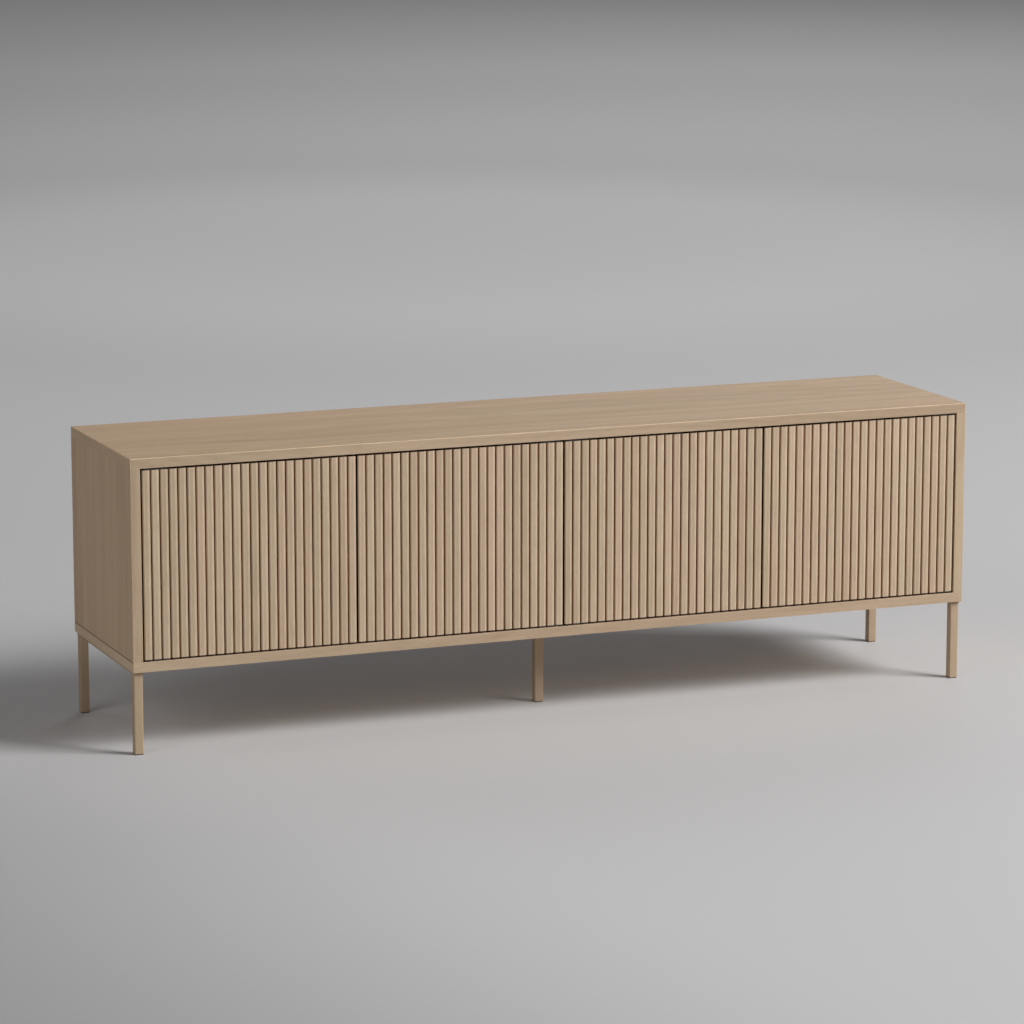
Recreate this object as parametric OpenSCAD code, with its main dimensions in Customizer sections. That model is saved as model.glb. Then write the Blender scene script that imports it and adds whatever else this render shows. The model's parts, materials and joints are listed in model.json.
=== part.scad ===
// Media cabinet: a long veneered case on five slim square legs, with four slatted doors.
// The doors are inset, turn on hidden pivot pins and open at a push. Millimetres throughout.
// The front faces -Y, +X is to the right, the floor is z = 0 and the origin is under the middle.

/* [Case] */
// Width of the case over its side panels
case_w = 1800; // [1400:10:2200]
// Depth of the case, front to back
case_d = 410; // [340:2:500]
// Height of the case without its legs
case_h = 420; // [340:5:600]
// Thickness of the top, bottom, side and dividing panels
panel_t = 20; // [18:1:25]
// Thickness of the two back panels
back_t = 5; // [4:0.5:8]
// How far the back panels stand in from the rear edges
back_inset = 12; // [8:1:30]
// Depth of the grooves that hold the back panels
back_groove = 7; // [5:0.5:8]
// Diameter of the cable hole in each back panel
cable_hole_d = 60; // [40:1:80]
// Height of the middle of a cable hole above the floor of its compartment
cable_hole_z = 80; // [50:5:120]

/* [Doors] */
// Gap round each door
door_gap = 4; // [2.5:0.5:5]
// How far the slats stand behind the front edges of the case
door_inset = 1; // [0:0.5:4]
// Thickness of the panel that carries the slats
core_t = 14; // [12:1:20]
// Thickness of a slat
slat_t = 8; // [5:0.5:12]
// Width that a slat is made to, before the row is fitted to its door
slat_w = 15.8; // [10:0.1:40]
// Width of the groove between two slats
slat_gap = 2.5; // [2:0.5:8]
// Rounding of the two front edges of a slat
slat_round = 2; // [1:0.25:4.5]
// Space between the back of a door and the divider behind it
divider_gap = 4; // [3.5:0.5:10]

/* [Shelves] */
// Thickness of a shelf
shelf_t = 18; // [15:1:25]
// How far a shelf stands behind the front edge of the divider
shelf_setback = 20; // [5:5:60]
// Space left behind a shelf for cables
shelf_cable_gap = 30; // [10:5:60]
// Length of a shelf pin beyond its collar
shelf_peg_l = 7; // [5:0.5:10]

/* [Legs] */
// Height of the case above the floor
leg_h = 165; // [80:5:250]
// Width of a square leg tube
leg_w = 18; // [15:1:30]
// Wall of a leg tube
leg_wall = 1.5; // [1:0.25:2.5]
// Distance of a leg from the side of the case
leg_inset_x = 3; // [0:1:40]
// Distance of a leg from the front or back of the case
leg_inset_y = 8; // [0:1:60]
// Distance of the middle leg's centre from the front of the case
mid_leg_y = 140; // [60:5:165]
// Thickness of the flat steel that a leg is welded to
bar_t = 5; // [3:0.5:8]
// Thickness of the glide under a leg
glide_t = 2; // [1:0.5:5]

/* [Pivots and latches] */
// Diameter of a pivot pin
pin_d = 4; // [3:0.5:5]
// Distance of a pivot pin from the door's hinged edge and from its front
pivot_in = 6; // [5:0.5:6.5]
// Thickness of a pivot plate
plate_t = 2; // [1.5:0.1:2]
// Diameter of a latch plunger
plunger_d = 9; // [7:0.5:10]
// How far a plunger can be pushed in
plunger_travel = 3; // [2:0.5:4]

/* [Hidden] */
$fn = 48;
DOORS = [1, 2, 3, 4];
// Side of each door that its pivots are on: -1 is left, 1 is right
HINGE = [-1, 1, -1, 1];
ROOT_NODES = [
    "top_panel", "bottom_panel", "left_side_panel", "right_side_panel", "centre_divider",
    "left_back_panel", "right_back_panel", "left_shelf", "right_shelf", "shelf_pins",
    "cam_locks", "cam_bolts", "dowels", "cable_grommets",
    "front_left_leg", "front_right_leg", "back_left_leg", "back_right_leg", "middle_leg",
    "left_leg_bar", "right_leg_bar", "middle_leg_plate", "leg_glides", "leg_screws",
    "pivot_bushings", "latch_housings", "latch_springs", "latch_screws"
];
DOOR_PARTS = ["core", "slats", "pivot_plates", "strike_plate", "screws"];

// Overlap that a cut takes past a face
cut = 1;
// Radial clearance of a pin or plunger that moves in a bore
running_play = 0.05;
// Radial clearance of a fitting that stays in its bore
fit_play = 0.1;

// The case: its outside planes and the planes of the space inside it
front = -case_d / 2;
back = case_d / 2;
right = case_w / 2;
inner_x = right - panel_t;
inner_z0 = leg_h + panel_t;
inner_z1 = leg_h + case_h - panel_t;
inner_h = inner_z1 - inner_z0;
divider_x = panel_t / 2;
bay_w = inner_x - divider_x;
upright_xs = [-right + panel_t / 2, 0, right - panel_t / 2];
back_y = back - back_inset - back_t;
back_play = 0.2;
back_tongue = back_groove - 1;

// The doors
door_n = len(DOORS);
door_w = (2 * inner_x - (door_n + 1) * door_gap) / door_n;
door_h = inner_h - 2 * door_gap;
door_z0 = inner_z0 + door_gap;
door_z1 = door_z0 + door_h;
door_front = front + door_inset;
core_y = door_front + slat_t;
door_back = core_y + core_t;
divider_y = door_back + divider_gap;
slat_n = round((door_w + slat_gap) / (slat_w + slat_gap));
slat_pitch = (door_w + slat_gap) / slat_n;
slat_fit_w = slat_pitch - slat_gap;
function door_x(n) = -inner_x + door_gap + (n - 1) * (door_w + door_gap);
function hinge_edge(n) = HINGE[n - 1] < 0 ? door_x(n) : door_x(n) + door_w;
function free_edge(n) = HINGE[n - 1] < 0 ? door_x(n) + door_w : door_x(n);

// Countersunk wood screws: one size for the doors and latches, a larger one for the legs
screw_d = 3.5;
screw_l = 12;
screw_head_d = 6.4;
screw_head_h = 1.7;
leg_screw_d = 4.5;
leg_screw_l = 18;
leg_screw_head_d = 8.4;
leg_screw_head_h = 2.4;

// Pivots: a plate with a pin on each end of a door, turning in a flanged bushing in the panel
plate_l = 48;
plate_w = 17;
plate_in = 2;
plate_r = 3;
plate_screw_xs = [22, 41];
plate_screw_y = slat_t + core_t / 2;
pivot_end_play = 0.1;
flange_t = door_gap - plate_t - pivot_end_play;
flange_d = pin_d + 6;
bushing_d = pin_d + 3;
bushing_l = 10;
pin_l = 9;

// Push latches: a housing under the top panel, with its plunger against a plate on the door
latch_in = 30;
latch_w = 16;
latch_h = 18;
latch_l = 62;
latch_axis_drop = 11;
latch_wall_end = 5;
latch_base_w = 36;
latch_base_l = 44;
latch_base_t = 3;
latch_screw_x = 13;
latch_z = inner_z1 - latch_axis_drop;
strike_w = 28;
strike_h = 13;
strike_t = 2;
strike_screw_x = 9;
strike_gap = 0.3;
tip_y = door_back + strike_t + strike_gap;
tip_out = plunger_travel + 2;
plunger_l = 40;
magnet_d = plunger_d - 3;
magnet_l = 4;
magnet_out = 0.5;
latch_y = tip_y + tip_out;
bore_l = latch_l - latch_wall_end;
spring_wire = 0.8;
spring_turns = 5;
spring_y = tip_y + plunger_l + plunger_travel + 0.5;
spring_l = latch_y + bore_l - spring_y;
function latch_x(n) = free_edge(n) + HINGE[n - 1] * latch_in;

// Shelves and their pins
shelf_pin_d = 5;
shelf_pin_hole = 8;
shelf_collar_d = 8;
shelf_collar_t = 1.5;
shelf_end_gap = 2;
shelf_rows = [-2, -1, 0, 1, 2];
shelf_row_pitch = 32;
shelf_row_z = inner_z0 + inner_h / 2;
shelf_z = shelf_row_z + shelf_pin_d / 2;
shelf_y = divider_y + shelf_setback;
shelf_back = back_y - shelf_cable_gap;
shelf_pin_ys = [shelf_y + 40, shelf_back - 40];

// Fittings that join the uprights to the top and bottom panels
cam_d = 15;
cam_l = 12.5;
cam_reach = 24;
bolt_thread_d = 5;
bolt_thread_l = 11;
bolt_d = 6;
bolt_head_d = 7;
bolt_head_h = 3;
bolt_bore_d = 8;
dowel_d = 8;
dowel_up = 11;
dowel_down = 19;
fitting_ys = [front + 70, back - 70];
dowel_ys = [front + 110, back - 110];

// Cable grommets
grommet_wall = 3;
grommet_flange = 4;
grommet_flange_t = 2;
grommet_l = back_t + 4;

// Legs
leg_tube_h = leg_h - bar_t - glide_t;
leg_round = 1.5;
leg_x = right - leg_inset_x - leg_w / 2;
leg_y = back - leg_inset_y - leg_w / 2;
bar_screw_n = 4;
bar_screw_end = 40;
mid_plate_w = 70;
mid_plate_screw = 24;
glide_plug = 12;
glide_in = 0.5;
LEG_SPOTS = [
    [-leg_x, -leg_y], [leg_x, -leg_y], [-leg_x, leg_y], [leg_x, leg_y], [0, front + mid_leg_y]
];

// ---- Shared shapes ----

// A flat outline with four round corners, centred
module rounded_rect(w, d, r) {
    square([w - 2 * r, d], center = true);
    square([w, d - 2 * r], center = true);
    for (x = [-1, 1], y = [-1, 1])
        translate([x * (w / 2 - r), y * (d / 2 - r)]) circle(r = r);
}

// A countersunk screw: its head is flush with z = 0 and its point is downwards
module screw(d, l, head_d, head_h) {
    point_l = d;
    difference() {
        union() {
            translate([0, 0, -head_h]) cylinder(d1 = d, d2 = head_d, h = head_h);
            translate([0, 0, point_l - l]) cylinder(d = d, h = l - point_l - head_h);
            translate([0, 0, -l]) cylinder(d1 = 0.3 * d, d2 = d, h = point_l);
        }
        for (turn = [0, 90])
            rotate([0, 0, turn])
                translate([-0.3 * head_d, -0.4, -0.7 * head_h]) cube([0.6 * head_d, 0.8, head_h]);
    }
}

// The hole that such a screw needs
module screw_hole(d, l, head_d, head_h) {
    translate([0, 0, -head_h - fit_play])
        cylinder(d1 = d + 2 * fit_play, d2 = head_d + 2 * fit_play, h = head_h + fit_play);
    translate([0, 0, -l - cut]) cylinder(d = d + 2 * fit_play, h = l + cut - head_h);
    cylinder(d = head_d + 2 * fit_play, h = cut);
}

module small_screw() {
    screw(screw_d, screw_l, screw_head_d, screw_head_h);
}

module small_screw_hole() {
    screw_hole(screw_d, screw_l, screw_head_d, screw_head_h);
}

module leg_screw() {
    screw(leg_screw_d, leg_screw_l, leg_screw_head_d, leg_screw_head_h);
}

module leg_screw_hole() {
    screw_hole(leg_screw_d, leg_screw_l, leg_screw_head_d, leg_screw_head_h);
}

// ---- Places that several pieces share ----

// Each joint of an upright with the top or bottom panel, with +z pointing into that panel.
// $inward is the direction from the upright's middle to the face that holds the cam lock.
module at_joints(ys) {
    for (x = upright_xs, y = ys) {
        $inward = x < 0 ? 1 : -1;
        translate([x, y, inner_z1]) children();
        translate([x, y, inner_z0]) mirror([0, 0, 1]) children();
    }
}

// Both ends of a door at its hinged edge: +x runs into the door and +z away from it
module at_pivots(n) {
    for (end = [0, 1])
        translate([hinge_edge(n), door_front, end ? door_z1 : door_z0])
            mirror([HINGE[n - 1] > 0 ? 1 : 0, 0, 0])
                mirror([0, 0, 1 - end]) children();
}

module at_pivot_screws(n) {
    at_pivots(n)
        for (x = plate_screw_xs) translate([x, plate_screw_y, plate_t]) children();
}

// The strike plate's screws: +z points backwards, away from the door
module at_strike_screws(n) {
    for (x = [-1, 1])
        translate([latch_x(n) + x * strike_screw_x, door_back + strike_t, latch_z])
            rotate([-90, 0, 0]) children();
}

// The latch's screws go up into the top panel: +z points down
module at_latch_screws() {
    for (n = DOORS, x = [-1, 1])
        translate([latch_x(n) + x * latch_screw_x, latch_y + latch_base_l / 2, inner_z1 - latch_base_t])
            rotate([180, 0, 0]) children();
}

// The screws of the two leg bars and of the middle leg's plate: +z points down
module at_leg_screws() {
    bar_run = 2 * (leg_y + leg_w / 2) - 2 * bar_screw_end;
    for (x = [-leg_x, leg_x], k = [0 : bar_screw_n - 1])
        translate([x, k * bar_run / (bar_screw_n - 1) - bar_run / 2, leg_h - bar_t])
            rotate([180, 0, 0]) children();
    for (x = [-1, 1], y = [-1, 1])
        translate([x * mid_plate_screw, front + mid_leg_y + y * mid_plate_screw, leg_h - bar_t])
            rotate([180, 0, 0]) children();
}

// The shelf-pin holes of the given rows: +z points into the panel
module at_shelf_pins(rows) {
    for (s = [-1, 1], wall = [0, 1], y = shelf_pin_ys, row = rows)
        translate([s * (wall ? inner_x : divider_x), y, shelf_row_z + row * shelf_row_pitch])
            rotate([0, (wall ? s : -s) * 90, 0]) children();
}

// ---- Cuts that several pieces share ----

module dowel_bores() {
    at_joints(dowel_ys)
        translate([0, 0, -dowel_down - cut / 2])
            cylinder(d = dowel_d + 2 * fit_play, h = dowel_down + dowel_up + cut);
}

module bolt_bores() {
    at_joints(fitting_ys) {
        translate([0, 0, -cam_reach - bolt_head_h]) cylinder(d = bolt_bore_d, h = cam_reach + bolt_head_h);
        cylinder(d = bolt_thread_d + 2 * fit_play, h = bolt_thread_l + cut / 2);
    }
}

module cam_bores() {
    at_joints(fitting_ys)
        translate([$inward * (panel_t / 2 + cut), 0, -cam_reach])
            rotate([0, -90 * $inward, 0])
                cylinder(d = cam_d + 2 * fit_play, h = cam_l + cut + fit_play);
}

module bushing_bores() {
    for (n = DOORS)
        at_pivots(n)
            translate([pivot_in, pivot_in, door_gap - cut])
                cylinder(d = bushing_d + 2 * fit_play, h = bushing_l + 2 * cut);
}

module shelf_pin_bores() {
    at_shelf_pins(shelf_rows)
        translate([0, 0, -cut])
            cylinder(d = shelf_pin_d + 2 * fit_play, h = shelf_pin_hole + 1.5 * cut);
}

// The ring of grooves round the back panels, through the top, bottom, sides and divider
module back_grooves() {
    for (s = [-1, 1])
        translate([
            s > 0 ? divider_x - back_groove : -inner_x - back_groove,
            back_y - back_play,
            inner_z0 - back_groove
        ])
            cube([bay_w + 2 * back_groove, back_t + 2 * back_play, inner_h + 2 * back_groove]);
}

// ---- Case ----

module long_panel(z) {
    difference() {
        translate([-right, front, z]) cube([case_w, case_d, panel_t]);
        dowel_bores();
        bolt_bores();
        bushing_bores();
        back_grooves();
        at_latch_screws() small_screw_hole();
        at_leg_screws() leg_screw_hole();
    }
}

module top_panel() {
    color("#c4aa88") long_panel(inner_z1);
}

module bottom_panel() {
    color("#c4aa88") long_panel(leg_h);
}

module upright(x, y0) {
    difference() {
        translate([x - panel_t / 2, y0, inner_z0]) cube([panel_t, back - y0, inner_h]);
        dowel_bores();
        bolt_bores();
        cam_bores();
        back_grooves();
        shelf_pin_bores();
    }
}

module side_panel(s) {
    color("#bfa482") upright(s * (right - panel_t / 2), front);
}

module centre_divider() {
    color("#b89c79") upright(0, divider_y);
}

module back_panel(s) {
    middle = s * (divider_x + bay_w / 2);
    color("#a68c6c")
        difference() {
            translate([middle - bay_w / 2 - back_tongue, back_y, inner_z0 - back_tongue])
                cube([bay_w + 2 * back_tongue, back_t, inner_h + 2 * back_tongue]);
            translate([middle, back_y - cut, inner_z0 + cable_hole_z])
                rotate([-90, 0, 0]) cylinder(d = cable_hole_d, h = back_t + 2 * cut);
        }
}

module cable_grommets() {
    sleeve_d = cable_hole_d - 2 * fit_play;
    color("#2c2a28")
        for (s = [-1, 1])
            translate([s * (divider_x + bay_w / 2), back_y, inner_z0 + cable_hole_z])
                rotate([-90, 0, 0])
                    difference() {
                        union() {
                            translate([0, 0, -grommet_flange_t])
                                cylinder(d = cable_hole_d + 2 * grommet_flange, h = grommet_flange_t);
                            cylinder(d = sleeve_d, h = grommet_l - grommet_flange_t);
                        }
                        translate([0, 0, -grommet_flange_t - cut])
                            cylinder(d = sleeve_d - 2 * grommet_wall, h = grommet_l + 2 * cut);
                    }
}

module shelf(s) {
    middle = s * (divider_x + bay_w / 2);
    color("#bfa482")
        translate([middle - bay_w / 2 + shelf_end_gap, shelf_y, shelf_z])
            cube([bay_w - 2 * shelf_end_gap, shelf_back - shelf_y, shelf_t]);
}

module shelf_pins() {
    color("#8f9194")
        at_shelf_pins([0]) {
            translate([0, 0, -shelf_collar_t - shelf_peg_l])
                cylinder(d = shelf_pin_d, h = shelf_pin_hole + shelf_collar_t + shelf_peg_l);
            translate([0, 0, -shelf_collar_t]) cylinder(d = shelf_collar_d, h = shelf_collar_t);
        }
}

// ---- Fittings of the case ----

module cam_locks() {
    slot_l = 8;
    slot_w = 1.6;
    color("#9a9da0")
        at_joints(fitting_ys)
            difference() {
                translate([$inward * panel_t / 2, 0, -cam_reach])
                    rotate([0, -90 * $inward, 0]) cylinder(d = cam_d, h = cam_l);
                translate([0, 0, -cam_reach - bolt_head_h])
                    cylinder(d = bolt_bore_d, h = cam_reach + bolt_head_h);
                translate([$inward * panel_t / 2, 0, -cam_reach])
                    cube([2 * slot_w, slot_l, slot_w], center = true);
            }
}

module cam_bolts() {
    color("#a9acaf")
        at_joints(fitting_ys) {
            cylinder(d = bolt_thread_d, h = bolt_thread_l);
            translate([0, 0, -cam_reach]) cylinder(d = bolt_d, h = cam_reach);
            translate([0, 0, -cam_reach - bolt_head_h / 2])
                cylinder(d = bolt_head_d, h = bolt_head_h);
        }
}

module dowels() {
    color("#d9c19a")
        at_joints(dowel_ys)
            translate([0, 0, -dowel_down]) cylinder(d = dowel_d, h = dowel_down + dowel_up);
}

// ---- Legs ----

module leg_tube(spot) {
    color("#b59c7b")
        translate([spot[0], spot[1], glide_t])
            linear_extrude(leg_tube_h)
                difference() {
                    rounded_rect(leg_w, leg_w, leg_round);
                    square(leg_w - 2 * leg_wall, center = true);
                }
}

module leg_bar(s) {
    color("#b59c7b")
        difference() {
            translate([s * leg_x - leg_w / 2, -leg_y - leg_w / 2, leg_h - bar_t])
                cube([leg_w, 2 * leg_y + leg_w, bar_t]);
            at_leg_screws() leg_screw_hole();
        }
}

module middle_leg_plate() {
    color("#b59c7b")
        difference() {
            translate([0, front + mid_leg_y, leg_h - bar_t])
                linear_extrude(bar_t) rounded_rect(mid_plate_w, mid_plate_w, plate_r);
            at_leg_screws() leg_screw_hole();
        }
}

module leg_glides() {
    plug_w = leg_w - 2 * leg_wall - 2 * fit_play;
    color("#3a342e")
        for (spot = LEG_SPOTS)
            translate(spot) {
                linear_extrude(glide_t)
                    rounded_rect(leg_w - 2 * glide_in, leg_w - 2 * glide_in, leg_round);
                translate([-plug_w / 2, -plug_w / 2, 0]) cube([plug_w, plug_w, glide_t + glide_plug]);
            }
}

module leg_screws() {
    color("#a9acaf") at_leg_screws() leg_screw();
}

// ---- Doors ----

module door_core(n) {
    color("#4a3526")
        difference() {
            translate([door_x(n), core_y, door_z0]) cube([door_w, core_t, door_h]);
            at_pivot_screws(n) small_screw_hole();
            at_strike_screws(n) small_screw_hole();
        }
}

// A slat's outline, seen from above, with its front at y = 0
module slat_outline() {
    translate([0, slat_round]) square([slat_fit_w, slat_t - slat_round]);
    translate([slat_round, 0]) square([slat_fit_w - 2 * slat_round, slat_t]);
    for (x = [slat_round, slat_fit_w - slat_round])
        translate([x, slat_round]) circle(r = slat_round);
}

module door_slats(n) {
    color("#c7ac8a")
        for (k = [0 : slat_n - 1])
            translate([door_x(n) + k * slat_pitch, door_front, door_z0])
                linear_extrude(door_h) slat_outline();
}

module pivot_plates(n) {
    color("#3a3a3c")
        at_pivots(n) {
            difference() {
                translate([plate_in + plate_l / 2, plate_in + plate_w / 2, 0])
                    linear_extrude(plate_t) rounded_rect(plate_l, plate_w, plate_r);
                for (x = plate_screw_xs)
                    translate([x, plate_screw_y, plate_t]) small_screw_hole();
            }
            translate([pivot_in, pivot_in, plate_t]) cylinder(d = pin_d, h = pin_l);
        }
}

module strike_plate(n) {
    color("#3a3a3c")
        difference() {
            translate([latch_x(n), door_back + strike_t, latch_z])
                rotate([90, 0, 0])
                    linear_extrude(strike_t) rounded_rect(strike_w, strike_h, plate_r);
            at_strike_screws(n) small_screw_hole();
        }
}

module door_screws(n) {
    color("#a9acaf") {
        at_pivot_screws(n) small_screw();
        at_strike_screws(n) small_screw();
    }
}

// ---- Pivot bushings and push latches ----

module pivot_bushings() {
    color("#e8e4da")
        for (n = DOORS)
            at_pivots(n)
                translate([pivot_in, pivot_in, door_gap - flange_t])
                    difference() {
                        union() {
                            cylinder(d = flange_d, h = flange_t);
                            cylinder(d = bushing_d, h = flange_t + bushing_l);
                        }
                        translate([0, 0, -cut])
                            cylinder(d = pin_d + 2 * running_play, h = pin_l + 2 * cut);
                    }
}

module latch_housings() {
    color("#d8d5ce")
        for (n = DOORS)
            difference() {
                translate([latch_x(n), latch_y, inner_z1]) {
                    translate([-latch_w / 2, 0, -latch_h]) cube([latch_w, latch_l, latch_h]);
                    translate([-latch_base_w / 2, 0, -latch_base_t])
                        cube([latch_base_w, latch_base_l, latch_base_t]);
                }
                translate([latch_x(n), latch_y - cut, latch_z])
                    rotate([-90, 0, 0])
                        cylinder(d = plunger_d + 2 * running_play, h = bore_l + cut);
                at_latch_screws() small_screw_hole();
            }
}

module latch_screws() {
    color("#a9acaf") at_latch_screws() small_screw();
}

// A coil spring along +z: a round wire of radius wire_r wound on a circle of radius coil_r
module coil_spring(coil_r, wire_r, l, turns) {
    steps = 12;
    sides = 6;
    rings = turns * steps;
    lead = l - 2 * wire_r;
    points = [
        for (i = [0 : rings], k = [0 : sides - 1])
            let (turn = 360 * i / steps, side = 360 * k / sides, r = coil_r + wire_r * cos(side))
                [r * cos(turn), r * sin(turn), wire_r + lead * i / rings + wire_r * sin(side)]
    ];
    walls = [
        for (i = [0 : rings - 1], k = [0 : sides - 1])
            let (a = i * sides + k, b = i * sides + (k + 1) % sides)
                [a, a + sides, b + sides, b]
    ];
    ends = [
        [for (k = [0 : sides - 1]) k],
        [for (k = [sides - 1 : -1 : 0]) rings * sides + k]
    ];
    polyhedron(points, concat(walls, ends), convexity = 4);
}

module latch_springs() {
    color("#a9acaf")
        for (n = DOORS)
            translate([latch_x(n), spring_y, latch_z])
                rotate([-90, 0, 0])
                    coil_spring(plunger_d / 2 - spring_wire, spring_wire / 2, spring_l, spring_turns);
}

module plunger(n) {
    color("#6e6c69")
        translate([latch_x(n), tip_y, latch_z])
            rotate([-90, 0, 0])
                difference() {
                    translate([0, 0, magnet_out]) cylinder(d = plunger_d, h = plunger_l - magnet_out);
                    cylinder(d = magnet_d + 2 * fit_play, h = magnet_l + fit_play);
                }
}

module plunger_magnet(n) {
    color("#c9cbcd")
        translate([latch_x(n), tip_y, latch_z]) rotate([-90, 0, 0]) cylinder(d = magnet_d, h = magnet_l);
}

// ---- What is drawn ----

top_panel();
bottom_panel();
side_panel(-1);  // left_side_panel
side_panel(1);  // right_side_panel
centre_divider();
back_panel(-1);  // left_back_panel
back_panel(1);  // right_back_panel
shelf(-1);  // left_shelf
shelf(1);  // right_shelf
shelf_pins();
cam_locks();
cam_bolts();
dowels();
cable_grommets();
leg_tube(LEG_SPOTS[0]);  // front_left_leg
leg_tube(LEG_SPOTS[1]);  // front_right_leg
leg_tube(LEG_SPOTS[2]);  // back_left_leg
leg_tube(LEG_SPOTS[3]);  // back_right_leg
leg_tube(LEG_SPOTS[4]);  // middle_leg
leg_bar(-1);  // left_leg_bar
leg_bar(1);  // right_leg_bar
middle_leg_plate();
leg_glides();
leg_screws();
pivot_bushings();
latch_housings();
latch_springs();
latch_screws();
for (n = DOORS) {
    door_core(n);
    door_slats(n);
    pivot_plates(n);
    strike_plate(n);
    door_screws(n);
    plunger(n);
    plunger_magnet(n);
}
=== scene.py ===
# %% [markdown]
# # A media cabinet in light oak
# The cabinet is a long veneered case on five slim steel legs, with four slatted doors that sit
# flush inside it. The design, the sizes and everything that moves were settled in a CAD model.
# This lesson gives that model its looks: it eases the edges, makes the slats, legs and grommets
# as they are on the real piece, and builds every finish from nodes.
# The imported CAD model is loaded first, as a fixed frame, and each new piece takes its place from it.

# %% Load the frame
import json
import math
import random

import bmesh
import bpy
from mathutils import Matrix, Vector


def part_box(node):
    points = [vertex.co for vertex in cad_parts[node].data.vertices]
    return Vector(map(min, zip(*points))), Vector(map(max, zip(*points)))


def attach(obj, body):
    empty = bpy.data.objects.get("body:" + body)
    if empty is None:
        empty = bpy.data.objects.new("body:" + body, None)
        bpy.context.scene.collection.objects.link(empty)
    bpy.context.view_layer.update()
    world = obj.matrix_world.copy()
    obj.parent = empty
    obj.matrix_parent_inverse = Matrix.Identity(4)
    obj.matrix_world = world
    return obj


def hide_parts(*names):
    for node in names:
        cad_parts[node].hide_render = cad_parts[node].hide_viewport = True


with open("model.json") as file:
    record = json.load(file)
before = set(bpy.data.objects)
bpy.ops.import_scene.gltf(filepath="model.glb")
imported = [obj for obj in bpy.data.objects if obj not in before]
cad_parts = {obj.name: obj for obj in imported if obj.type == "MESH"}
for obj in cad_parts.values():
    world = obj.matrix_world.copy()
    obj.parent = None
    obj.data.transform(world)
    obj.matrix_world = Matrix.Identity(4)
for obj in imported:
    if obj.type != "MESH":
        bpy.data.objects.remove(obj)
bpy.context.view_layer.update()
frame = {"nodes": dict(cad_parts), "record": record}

MM = 0.001

# %% [markdown]
# ## The camera
# A long lens from far away keeps a long piece of furniture from bulging. The camera could be
# placed by typing coordinates, but angles round the cabinet are easier to think about: how far
# to the left of straight on it stands, how high above the horizon, and how far away.

# %% Place the camera
CAMERA_TURN = math.radians(21.88)
CAMERA_LIFT = math.radians(10.75)
CAMERA_DISTANCE = 8.477
look_at = Vector((-0.0205, 0.0246, 0.3798))
away = Vector((
    -math.sin(CAMERA_TURN) * math.cos(CAMERA_LIFT),
    -math.cos(CAMERA_TURN) * math.cos(CAMERA_LIFT),
    math.sin(CAMERA_LIFT),
))
camera = bpy.data.objects.new("camera", bpy.data.cameras.new("camera"))
camera.data.lens = 145.45
camera.data.clip_end = 200
camera.location = look_at + away * CAMERA_DISTANCE
camera.rotation_euler = (-away).to_track_quat("-Z", "Y").to_euler()
bpy.context.scene.collection.objects.link(camera)
bpy.context.scene.camera = camera
print("camera at", [round(c, 2) for c in camera.location])

# %% [markdown]
# ## The light
# A studio lights furniture like this with a soft box high on the right, a second, larger one
# behind it that keeps the light even along the whole width, a weak one on the left that lifts the
# shaded side, one behind for the back, and one over the backdrop. Big area lamps give wide,
# soft-edged shadows. The room itself is a dim grey world, but the camera is shown a paler one,
# so that a low view past the floor's edge stays a light studio. The colour view is the standard
# one, so a colour that a finish is given comes out as that colour.
# A lamp takes its place, the point it shines at, its side in metres and its power in watts.

# %% Soft box, room and colour view
ROOM_GREY = (0.052, 0.0516, 0.052, 1)
PALE_ROOM_GREY = (0.42, 0.417, 0.42, 1)


def soft_box(name, place, aim, size, watts):
    """Makes a square area lamp that shines from place towards aim."""
    lamp = bpy.data.lights.new(name, "AREA")
    lamp.size = size
    lamp.energy = watts
    holder = bpy.data.objects.new(name, lamp)
    holder.location = place
    holder.rotation_euler = (Vector(aim) - Vector(place)).to_track_quat("-Z", "Y").to_euler()
    bpy.context.scene.collection.objects.link(holder)


soft_box("key_light", (4.6, -4.4, 4.6), (0.2, 0, 0.3), 3.2, 246)
soft_box("wide_light", (9, -7, 9), (0.2, 0, 0.3), 6, 1260)
soft_box("fill_light", (-5, -3, 3.2), (-0.3, 0, 0.3), 3, 70)
soft_box("rear_light", (-5, 7, 4), (0, 0, 0.3), 4, 48)
soft_box("backdrop_light", (8, 14, 9), (3, 12, 0), 8, 420)
world = bpy.data.worlds.new("room")
bpy.context.scene.world = world
world.use_nodes = True
room = world.node_tree.nodes["Background"]
room.inputs["Color"].default_value = ROOM_GREY
pale_room = world.node_tree.nodes.new("ShaderNodeBackground")
pale_room.inputs["Color"].default_value = PALE_ROOM_GREY
rays = world.node_tree.nodes.new("ShaderNodeLightPath")
choice = world.node_tree.nodes.new("ShaderNodeMixShader")
world.node_tree.links.new(rays.outputs["Is Camera Ray"], choice.inputs[0])
world.node_tree.links.new(room.outputs[0], choice.inputs[1])
world.node_tree.links.new(pale_room.outputs[0], choice.inputs[2])
world.node_tree.links.new(choice.outputs[0], world.node_tree.nodes["World Output"].inputs["Surface"])
bpy.context.scene.view_settings.view_transform = "Standard"

# %% [markdown]
# ## A short way to write nodes
# Every finish below is a small graph of shader nodes. Adding each node, its settings and its
# links by hand takes many lines, so one helper does it: `put` adds a node, sets its options and
# fills its inputs, linking an input when it is handed another node's output.

# %% Node helpers
def put(tree, kind, inputs=None, **options):
    """Adds a node. Inputs go by name or number; an output given as a value is linked."""
    node = tree.nodes.new(kind)
    for option, value in options.items():
        setattr(node, option, value)
    for key, value in (inputs or {}).items():
        if isinstance(value, bpy.types.NodeSocket):
            tree.links.new(value, node.inputs[key])
        else:
            node.inputs[key].default_value = value
    return node


def math_node(tree, operation, first, second=0.0):
    return put(tree, "ShaderNodeMath", {0: first, 1: second}, operation=operation).outputs[0]


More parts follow.
